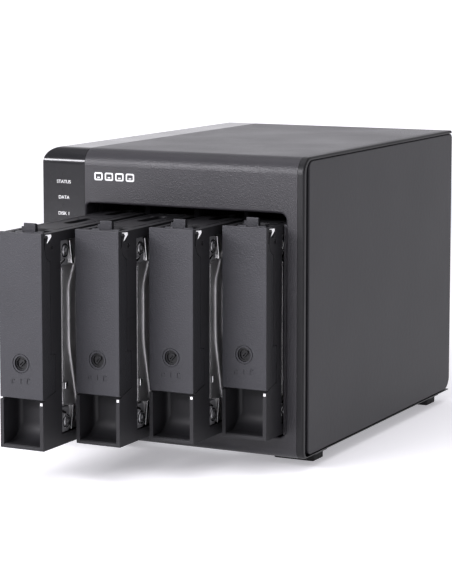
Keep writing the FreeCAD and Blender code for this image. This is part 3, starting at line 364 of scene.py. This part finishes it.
def frame_solid(mesh, outer, inner, place, depth):
    """Adds a flat ring between two outlines that have the same number of points."""
    count = len(outer)
    rings = [[mesh.verts.new(place(u, v, w)) for u, v in line] for line in (outer, inner) for w in (0.0, depth)]
    outer_front, outer_back, inner_front, inner_back = rings
    for i in range(count):
        j = (i + 1) % count
        mesh.faces.new((outer_front[i], outer_front[j], inner_front[j], inner_front[i]))
        mesh.faces.new((outer_back[i], outer_back[j], inner_back[j], inner_back[i]))
        mesh.faces.new((outer_front[i], outer_front[j], outer_back[j], outer_back[i]))
        mesh.faces.new((inner_front[i], inner_front[j], inner_back[j], inner_back[i]))


def screw_head(mesh, centre, normal, radius, height, points=6):
    """Adds a domed screw head with a star recess."""
    turn = Vector(normal).to_track_quat("Z", "Y").to_matrix().to_4x4()
    move = Matrix.Translation(Vector(centre)) @ turn
    segments = points * 4
    profile = [(1.0, 0.0), (1.0, 0.45), (0.93, 0.8), (0.78, 1.0)]
    rings = []
    for r, h in profile:
        rings.append([mesh.verts.new(move @ Vector((
            radius * r * math.cos(2 * math.pi * i / segments), radius * r * math.sin(2 * math.pi * i / segments),
            height * h))) for i in range(segments)])
    for level in (1.0, 0.35):
        ring = []
        for i in range(segments):
            star = 0.44 + 0.09 * math.cos(points * 2 * math.pi * i / segments)
            ring.append(mesh.verts.new(move @ Vector((
                radius * star * math.cos(2 * math.pi * i / segments),
                radius * star * math.sin(2 * math.pi * i / segments), height * level))))
        rings.append(ring)
    for low, high in zip(rings, rings[1:]):
        for i in range(segments):
            j = (i + 1) % segments
            mesh.faces.new((low[i], low[j], high[j], high[i]))
    mesh.faces.new(rings[-1])
    mesh.faces.new(list(reversed(rings[0])))


def facing_front(y):
    """Places an outline on a wall that faces -Y, standing out towards the viewer."""
    return lambda u, v, w: Vector((u, y - w, v))


def facing_right(x):
    return lambda u, v, w: Vector((x + w, u, v))


def facing_back(y):
    return lambda u, v, w: Vector((u, y + w, v))


# ---------------------------------------------------------------- marks on the front
front_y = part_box("front_bezel")[0].y
strip_low, strip_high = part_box("gloss_strip")
strip_middle = (strip_low.x + strip_high.x) / 2

mark = bmesh.new()
for i in range(4):
    u = -0.0470 + i * 0.0066
    frame_solid(mark, rounded(u, u + 0.0052, 0.1514, 0.1558, 0.0009),
                rounded(u + 0.0008, u + 0.0044, 0.1522, 0.1550, 0.0004), facing_front(front_y), 0.00004)
    outline_solid(mark, rounded(u + 0.0018, u + 0.0034, 0.1527, 0.1533, 0.0002), facing_front(front_y), 0.00004)
piece("front_mark", mark, ink_white, "case")


def lettering(name, words, size, x, y, z, turn=0):
    """Plain lettering, flat on a wall and centred on x. turn is 180 for a wall that faces the back."""
    curve = bpy.data.curves.new(name, "FONT")
    curve.body = words
    curve.size = size
    curve.align_x = "CENTER"
    curve.align_y = "CENTER"
    curve.extrude = 0.00003
    source = bpy.data.objects.new(name + "_source", curve)
    scene.collection.objects.link(source)
    bpy.context.view_layer.update()
    data = bpy.data.meshes.new_from_object(source.evaluated_get(bpy.context.evaluated_depsgraph_get()))
    bpy.data.objects.remove(source)
    upright = Matrix.Rotation(math.radians(turn), 4, "Z") @ Matrix.Rotation(math.radians(90), 4, "X")
    data.transform(Matrix.Translation((x, y, z)) @ upright)
    data.materials.clear()
    data.materials.append(ink_white)
    data.name = name
    thing = bpy.data.objects.new(name, data)
    scene.collection.objects.link(thing)
    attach(thing, "case")


for name, words, height in (("label_status", "STATUS", 149.6), ("label_data", "DATA", 140.9),
                            ("label_disk_one", "DISK 1", 131.9), ("label_disk_two", "DISK 2", 123.1),
                            ("label_disk_three", "DISK 3", 114.2), ("label_disk_four", "DISK 4", 105.4)):
    lettering(name, words, 0.0026, strip_middle, strip_low.y - 0.00003, height * mm)


def arc_band(mesh, centre, inner, outer, start, end, place, depth, steps=24):
    """Adds a flat curved band between two angles in degrees."""
    points = []
    for radius, order in ((outer, range(steps + 1)), (inner, range(steps, -1, -1))):
        for i in order:
            angle = math.radians(start + (end - start) * i / steps)
            points.append((centre[0] + radius * math.cos(angle), centre[1] + radius * math.sin(angle)))
    outline_solid(mesh, points, place, depth)


power_low, power_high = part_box("power_button")
power_middle = ((power_low.x + power_high.x) / 2, (power_low.z + power_high.z) / 2)
power_mark = bmesh.new()
arc_band(power_mark, power_middle, 0.0019, 0.0024, 125, 415, facing_front(power_low.y + 0.00036), 0.0001)
outline_solid(power_mark, rounded(power_middle[0] - 0.00025, power_middle[0] + 0.00025, power_middle[1] + 0.0004,
                                  power_middle[1] + 0.0027, 0.0001, 2), facing_front(power_low.y + 0.00036), 0.0001)
piece("power_mark", power_mark, ink_white, "power_button")

copy_low, copy_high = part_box("copy_button")
copy_middle = ((copy_low.x + copy_high.x) / 2, (copy_low.z + copy_high.z) / 2)
copy_mark = bmesh.new()
for shift in (-0.0005, 0.0005):
    u, v = copy_middle[0] + shift, copy_middle[1] + shift
    frame_solid(copy_mark, rounded(u - 0.0010, u + 0.0010, v - 0.0012, v + 0.0012, 0.0002, 2),
                rounded(u - 0.0007, u + 0.0007, v - 0.0009, v + 0.0009, 0.0001, 2),
                facing_front(copy_low.y + 0.0003 + shift * 0.1), 0.0001)
piece("copy_mark", copy_mark, ink_white, "copy_button")


# ---------------------------------------------------------------- hard drives and trays
def drive_details(bay):
    """Screws, corner lips, clip and label of one drive, on the side that shows between the trays."""
    low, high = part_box(f"drive_body_{bay}")
    cover_low, cover_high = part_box(f"drive_cover_{bay}")
    flat = cover_low.x + 0.00098
    body = f"tray_{bay}"
    screws = bmesh.new()
    for y in (low.y + 0.0056, high.y - 0.0048):
        for z in (low.z + 0.0056, high.z - 0.0056):
            screw_head(screws, (high.x, y, z), (1, 0, 0), 0.0025, 0.0009)
    for y in (low.y + 0.046, low.y + 0.096):
        for z in (low.z + 0.0044, high.z - 0.0044):
            screw_head(screws, (flat, y, z), (1, 0, 0), 0.0023, 0.0010)
    piece(f"drive_screws_{bay}", screws, screw_steel, body)

    rings = bmesh.new()
    for z in (low.z + 0.0056, high.z - 0.0056):
        arc_band(rings, (low.y + 0.0056, z), 0.0029, 0.0037, 0, 359.9, facing_right(high.x), 0.0004, 32)
        up = 1 if z > low.z + 0.05 else -1
        edge = high.z if up > 0 else low.z
        lip = [(low.y + 0.0098, edge - up * 0.0006), (low.y + 0.0112, edge - up * 0.0006),
               (low.y + 0.0138, edge - up * 0.0118), (low.y + 0.0146, edge - up * 0.0136),
               (low.y + 0.0120, edge - up * 0.0130)]
        outline_solid(rings, lip, facing_right(flat), 0.0016)
        rib = [(low.y + 0.0004, edge - up * 0.0110), (low.y + 0.0050, edge - up * 0.0098),
               (low.y + 0.0052, edge - up * 0.0106), (low.y + 0.0006, edge - up * 0.0128)]
        outline_solid(rings, rib, facing_right(high.x), 0.0008)
    block(rings, (flat - 0.0001, low.y + 0.0037, low.z + 0.0146), (flat + 0.0007, low.y + 0.0042, high.z - 0.0146))
    lips = piece(f"drive_lips_{bay}", rings, polished, body)
    soft = lips.modifiers.new("edge", "BEVEL")
    soft.width, soft.segments, soft.limit_method = 0.0003, 2, "ANGLE"

    clip = bmesh.new()
    block(clip, (flat - 0.0001, low.y + 0.0036, 0.0487), (flat + 0.0022, low.y + 0.0050, 0.0523), 0.0003)
    block(clip, (flat - 0.0001, low.y + 0.0049, 0.0492), (flat + 0.0008, low.y + 0.0082, 0.0518), 0.0002)
    piece(f"drive_clip_{bay}", clip, bright_steel, body)

    label = bmesh.new()
    y0, z0 = low.y + 0.034, 0.050
    outline_solid(label, rounded(y0, y0 + 0.056, z0, z0 + 0.052, 0.0015), facing_right(cover_high.x), 0.00006)
    piece(f"drive_label_{bay}", label, label_silver, body)
    prints = bmesh.new()
    face = facing_right(cover_high.x + 0.00005)
    random.seed(bay)
    for row in range(7):
        length = random.uniform(0.014, 0.034)
        outline_solid(prints, rounded(y0 + 0.004, y0 + 0.004 + length, z0 + 0.0455 - row * 0.0036,
                                      z0 + 0.0467 - row * 0.0036, 0.0003, 2), face, 0.00003)
    u = y0 + 0.004
    while u < y0 + 0.045:
        width = random.choice((0.0003, 0.0006, 0.0009))
        outline_solid(prints, [(u, z0 + 0.004), (u + width, z0 + 0.004), (u + width, z0 + 0.013),
                               (u, z0 + 0.013)], face, 0.00003)
        u += width + random.choice((0.0004, 0.0007))
    frame_solid(prints, rounded(y0 + 0.041, y0 + 0.052, z0 + 0.035, z0 + 0.047, 0.001),
                rounded(y0 + 0.0415, y0 + 0.0515, z0 + 0.0355, z0 + 0.0465, 0.0008), face, 0.00003)
    piece(f"drive_print_{bay}", prints, ink_grey, body)


for bay in bays:
    drive_details(bay)


# ---------------------------------------------------------------- sockets, boards and labels
def socket_details():
    """Contacts and tongues inside the sockets, with the printed names on the socket plate."""
    lan_low, lan_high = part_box("lan_jacks")
    usb_low, usb_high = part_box("rear_usb_ports")
    port_x, back = lan_low.x, lan_high.y
    contacts = bmesh.new()
    for z in (lan_high.z - 0.008, lan_low.z + 0.008):
        for i in range(8):
            v = z + (i - 3.5) * 0.00102
            block(contacts, (port_x + 0.0022, back - 0.0120, v - 0.00018),
                  (port_x + 0.0031, back - 0.0032, v + 0.00018), 0.0001, 1)
    tongues = bmesh.new()
    usb_middles = [usb_low.z + 0.0068, (usb_low.z + usb_high.z) / 2, usb_high.z - 0.0068]
    for z in usb_middles:
        block(tongues, (port_x + 0.00086, back - 0.0130, z - 0.00544), (port_x + 0.00284, back - 0.00114, z + 0.00544), 0.0002)
        for v in (-0.0035, -0.001, 0.001, 0.0035):
            block(contacts, (port_x + 0.0028, back - 0.0095, z + v - 0.0005), (port_x + 0.00292, back - 0.0018, z + v + 0.0005))
    front_low, front_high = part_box("front_usb_port")
    middle = (front_low.x + front_high.x) / 2
    z = (front_low.z + front_high.z) / 2
    block(tongues, (middle - 0.00544, front_low.y + 0.00126, z - 0.00024), (middle + 0.00544, front_low.y + 0.012, z + 0.00174), 0.0002)
    for u in (-0.0035, -0.001, 0.001, 0.0035):
        block(contacts, (middle + u - 0.0005, front_low.y + 0.0018, z - 0.00032), (middle + u + 0.0005, front_low.y + 0.009, z - 0.0002))
    piece("socket_contacts", contacts, gold, "case")
    piece("usb_tongues", tongues, port_blue, "case")
    jack_low, jack_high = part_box("power_jack")
    pin = bmesh.new()
    centre = Vector(((jack_low.x + jack_high.x) / 2, back - 0.0010, (jack_low.z + jack_high.z) / 2))
    profile = [(0.0, 0.0), (0.00075, 0.0), (0.00106, -0.0005), (0.00106, -0.0098)]
    rings = [[pin.verts.new(centre + Vector((r * math.cos(math.tau * i / 20), y, r * math.sin(math.tau * i / 20))))
              for i in range(20)] for r, y in profile[1:]]
    for near, far in zip(rings, rings[1:]):
        for i in range(20):
            pin.faces.new((near[i], near[(i + 1) % 20], far[(i + 1) % 20], far[i]))
    pin.faces.new(rings[0])
    pin.faces.new(list(reversed(rings[-1])))
    piece("power_pin", pin, bright_steel, "case")
    plate_low, plate_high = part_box("socket_plate")
    x = port_x + 0.0062
    for name, words, height in (("label_lan_one", "LAN 1", lan_high.z + 0.0018), ("label_lan_two", "LAN 2", lan_low.z - 0.0022),
                                ("label_reset", "RESET", 0.1446), ("label_power", "DC IN", jack_high.z + 0.0024)):
        lettering(name, words, 0.0022, x, plate_high.y + 0.00003, height, 180)
    for i, z in enumerate(usb_middles):
        lettering(f"label_usb_{i + 1}", f"USB {3 - i}", 0.0022, port_x + 0.0112, plate_high.y + 0.00003, z, 180)


def board_details():
    """Small parts on the backplane, on the side that faces the bays."""
    low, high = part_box("backplane_board")
    random.seed(11)
    tan, dark = bmesh.new(), bmesh.new()
    for bay in bays:
        drive_low, drive_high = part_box(f"drive_body_{bay}")
        x = (drive_low.x + drive_high.x) / 2
        for i in range(14):
            u = x + random.uniform(-0.0105, -0.0005)
            v = random.choice((random.uniform(0.030, 0.036), random.uniform(0.086, 0.126)))
            w, h = random.choice(((0.0016, 0.0008), (0.0008, 0.0016), (0.0020, 0.0012)))
            block(random.choice((tan, dark)), (u, low.y - random.uniform(0.0004, 0.0008), v),
                  (u + w, low.y + 0.0001, v + h), 0.0001, 1)
        block(dark, (x - 0.010, low.y - 0.0012, 0.094), (x - 0.004, low.y + 0.0001, 0.100), 0.0002, 1)
    piece("backplane_capacitors", tan, ceramic, "case")
    piece("backplane_chips", dark, chip_black, "case")


def stickers():
    """The fan's hub label and the blank rating label under the box."""
    fan_low, fan_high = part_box("fan_frame")
    rotor_low, rotor_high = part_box("fan_rotor")
    centre = ((rotor_low.x + rotor_high.x) / 2, (rotor_low.z + rotor_high.z) / 2)
    hub = bmesh.new()
    circle = [(centre[0] + 0.017 * math.cos(math.tau * i / 48), centre[1] + 0.017 * math.sin(math.tau * i / 48))
              for i in range(48)]
    outline_solid(hub, circle, facing_back(fan_high.y - 0.001), 0.00008)
    piece("fan_label", hub, label_silver, "case")
    lines = bmesh.new()
    face = facing_back(fan_high.y - 0.00093)
    arc_band(lines, centre, 0.0152, 0.0158, 0, 359.9, face, 0.00003, 48)
    for row, length in enumerate((0.012, 0.018, 0.016, 0.010)):
        outline_solid(lines, rounded(centre[0] - length / 2, centre[0] + length / 2, centre[1] + 0.0052 - row * 0.0036,
                                     centre[1] + 0.0064 - row * 0.0036, 0.0003, 2), face, 0.00003)
    piece("fan_print", lines, ink_grey, "case")
    base_low, base_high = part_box("chassis_base")
    y = base_low.y + 0.012
    down = lambda u, v, w: Vector((u, v, base_low.z - w))
    rating = bmesh.new()
    outline_solid(rating, rounded(-0.030, 0.030, y, y + 0.028, 0.0015), down, 0.00008)
    piece("rating_label", rating, label_silver, "case")
    bars = bmesh.new()
    under = lambda u, v, w: Vector((u, v, base_low.z - 0.00007 - w))
    random.seed(5)
    for row in range(6):
        length = random.uniform(0.02, 0.036)
        outline_solid(bars, rounded(-0.027, -0.027 + length, y + 0.0035 + row * 0.0040, y + 0.0047 + row * 0.0040,
                                    0.0003, 2), under, 0.00003)
    for i in range(16):
        u = 0.012 + i * 0.0009
        outline_solid(bars, [(u, y + 0.004), (u + 0.0003 + 0.0002 * (i % 3), y + 0.004),
                             (u + 0.0003 + 0.0002 * (i % 3), y + 0.012), (u, y + 0.012)], under, 0.00003)
    piece("rating_print", bars, ink_grey, "case")


socket_details()
board_details()
stickers()


# ---------------------------------------------------------------- stage, light and camera
def softbox(name, at, look, width, height, power, colour=(0.987, 0.972, 1.025)):
    light = bpy.data.lights.new(name, "AREA")
    light.shape = "RECTANGLE"
    light.size, light.size_y = width, height
    light.energy = power
    light.color = colour
    lamp = bpy.data.objects.new(name, light)
    lamp.location = at
    lamp.rotation_euler = (Vector(look) - Vector(at)).to_track_quat("-Z", "Y").to_euler()
    scene.collection.objects.link(lamp)


ground = bmesh.new()
bmesh.ops.create_grid(ground, x_segments=1, y_segments=1, size=40.0)
ground_data = bpy.data.meshes.new("floor")
ground.to_mesh(ground_data)
ground.free()
floor = bpy.data.objects.new("floor", ground_data)
floor.location = (0, 0, -0.0002)
scene.collection.objects.link(floor)
floor_shader = Shader("floor_pale")
floor_tone = floor_shader.colour(floor_shader.span(floor_shader.noise(3.0), 0.3, 0.7), (0.90, 0.90, 0.90), (0.92, 0.92, 0.92))
floor_shader.set(Specular_IOR_Level=0.0, Roughness=1.0, Emission_Color=(0.987, 0.972, 1.025, 1))
away = floor_shader.add("ShaderNodeVectorMath", operation="LENGTH")
floor_shader.link(floor_shader.place, away.inputs[0])
floor_shader.link(floor_shader.span(away.outputs["Value"], 0.7, 2.4, 0.36, 0.84),
                  floor_shader.main.inputs["Emission Strength"])
floor_data = floor_shader.paint(floor_tone)
ground_data.materials.append(floor_data)

studio_dim = 0.42
world = bpy.data.worlds.new("studio")
world.use_nodes = True
background = world.node_tree.nodes["Background"]
background.inputs["Color"].default_value = (0.987, 0.972, 1.025, 1)
direction = world.node_tree.nodes.new("ShaderNodeTexCoord")
toward = world.node_tree.nodes.new("ShaderNodeVectorMath")
toward.operation = "DOT_PRODUCT"
toward.inputs[1].default_value = (-0.446, 0.887, 0.12)
glow = world.node_tree.nodes.new("ShaderNodeMapRange")
for key, number in (("From Min", 0.72), ("From Max", 0.95), ("To Min", studio_dim), ("To Max", 1.035)):
    glow.inputs[key].default_value = number
world.node_tree.links.new(direction.outputs["Generated"], toward.inputs[0])
world.node_tree.links.new(toward.outputs["Value"], glow.inputs["Value"])
world.node_tree.links.new(glow.outputs["Result"], background.inputs["Strength"])
scene.world = world
softbox("overhead", (0.0, -0.1, 1.5), (0, 0, 0.1), 1.6, 1.2, 8.0)
softbox("front_left", (-0.52, -1.04, 0.52), (-0.02, -0.12, 0.14), 0.70, 0.16, 13.0)
softbox("fill", (0.05, -1.25, 0.75), (0.0, -0.1, 0.1), 0.6, 0.5, 5.0)
scene.view_settings.view_transform = "Standard"

camera_data = bpy.data.cameras.new("camera")
camera_data.sensor_width = 36.0
camera_data.lens = 132.33
camera_data.shift_y = -0.1
camera_data.clip_end = 200
camera = bpy.data.objects.new("camera", camera_data)
azimuth, pitch = math.radians(26.715), math.radians(7.062)
case_shift = front_y
camera.location = (0.54725, -1.0195 + case_shift, 0.26755)
aim = Vector((-math.sin(azimuth) * math.cos(pitch), math.cos(azimuth) * math.cos(pitch), -math.sin(pitch)))
camera.rotation_euler = aim.to_track_quat("-Z", "Y").to_euler()
scene.collection.objects.link(camera)
scene.camera = camera
